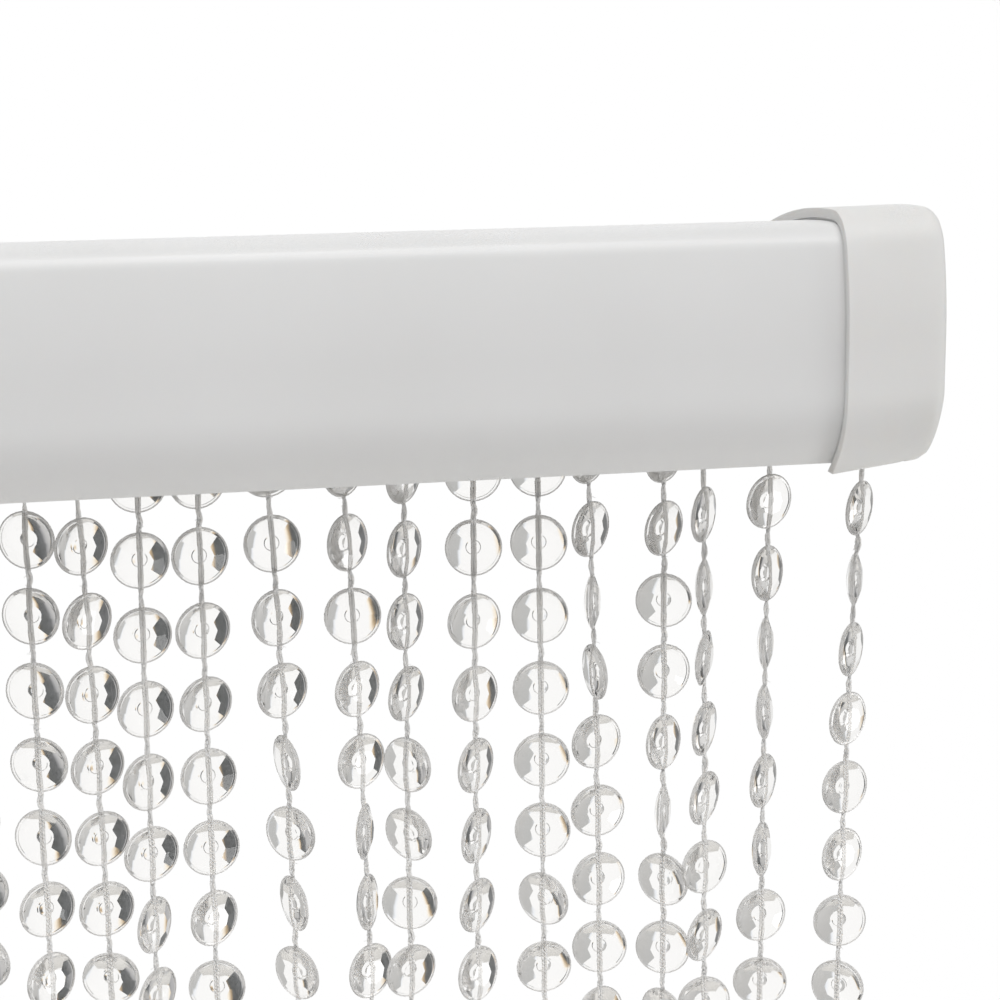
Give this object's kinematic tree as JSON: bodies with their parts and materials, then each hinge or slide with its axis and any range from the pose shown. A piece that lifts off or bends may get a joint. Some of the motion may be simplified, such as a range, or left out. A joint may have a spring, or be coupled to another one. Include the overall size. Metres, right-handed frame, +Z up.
{
  "type": "bead curtain with rail",
  "caption": "Bead door curtain: strings of clear faceted discs on thread, hanging from a white plastic channel rail with push-on end caps.",
  "frame": {"origin": "middle of the rail's flat back face, which goes against the lintel", "axes": "+X along the rail to the viewer's right, +Y into the wall behind the rail, +Z up; the strings hang along -Z"},
  "size_m": [0.9, 0.0346, 2],
  "materials": {
    "rail_plastic": "white extruded plastic, soft gloss",
    "cap_plastic": "slightly creamy moulded plastic, satin",
    "clear_beads": "clear faceted acrylic",
    "thread": "off-white twisted cotton thread"
  },
  "bodies": {
    "root": {"rail": "rail_plastic", "end_cap_right": "cap_plastic", "end_cap_left": "cap_plastic", "bead_strings": "clear_beads"}
  },
  "joints": []
}
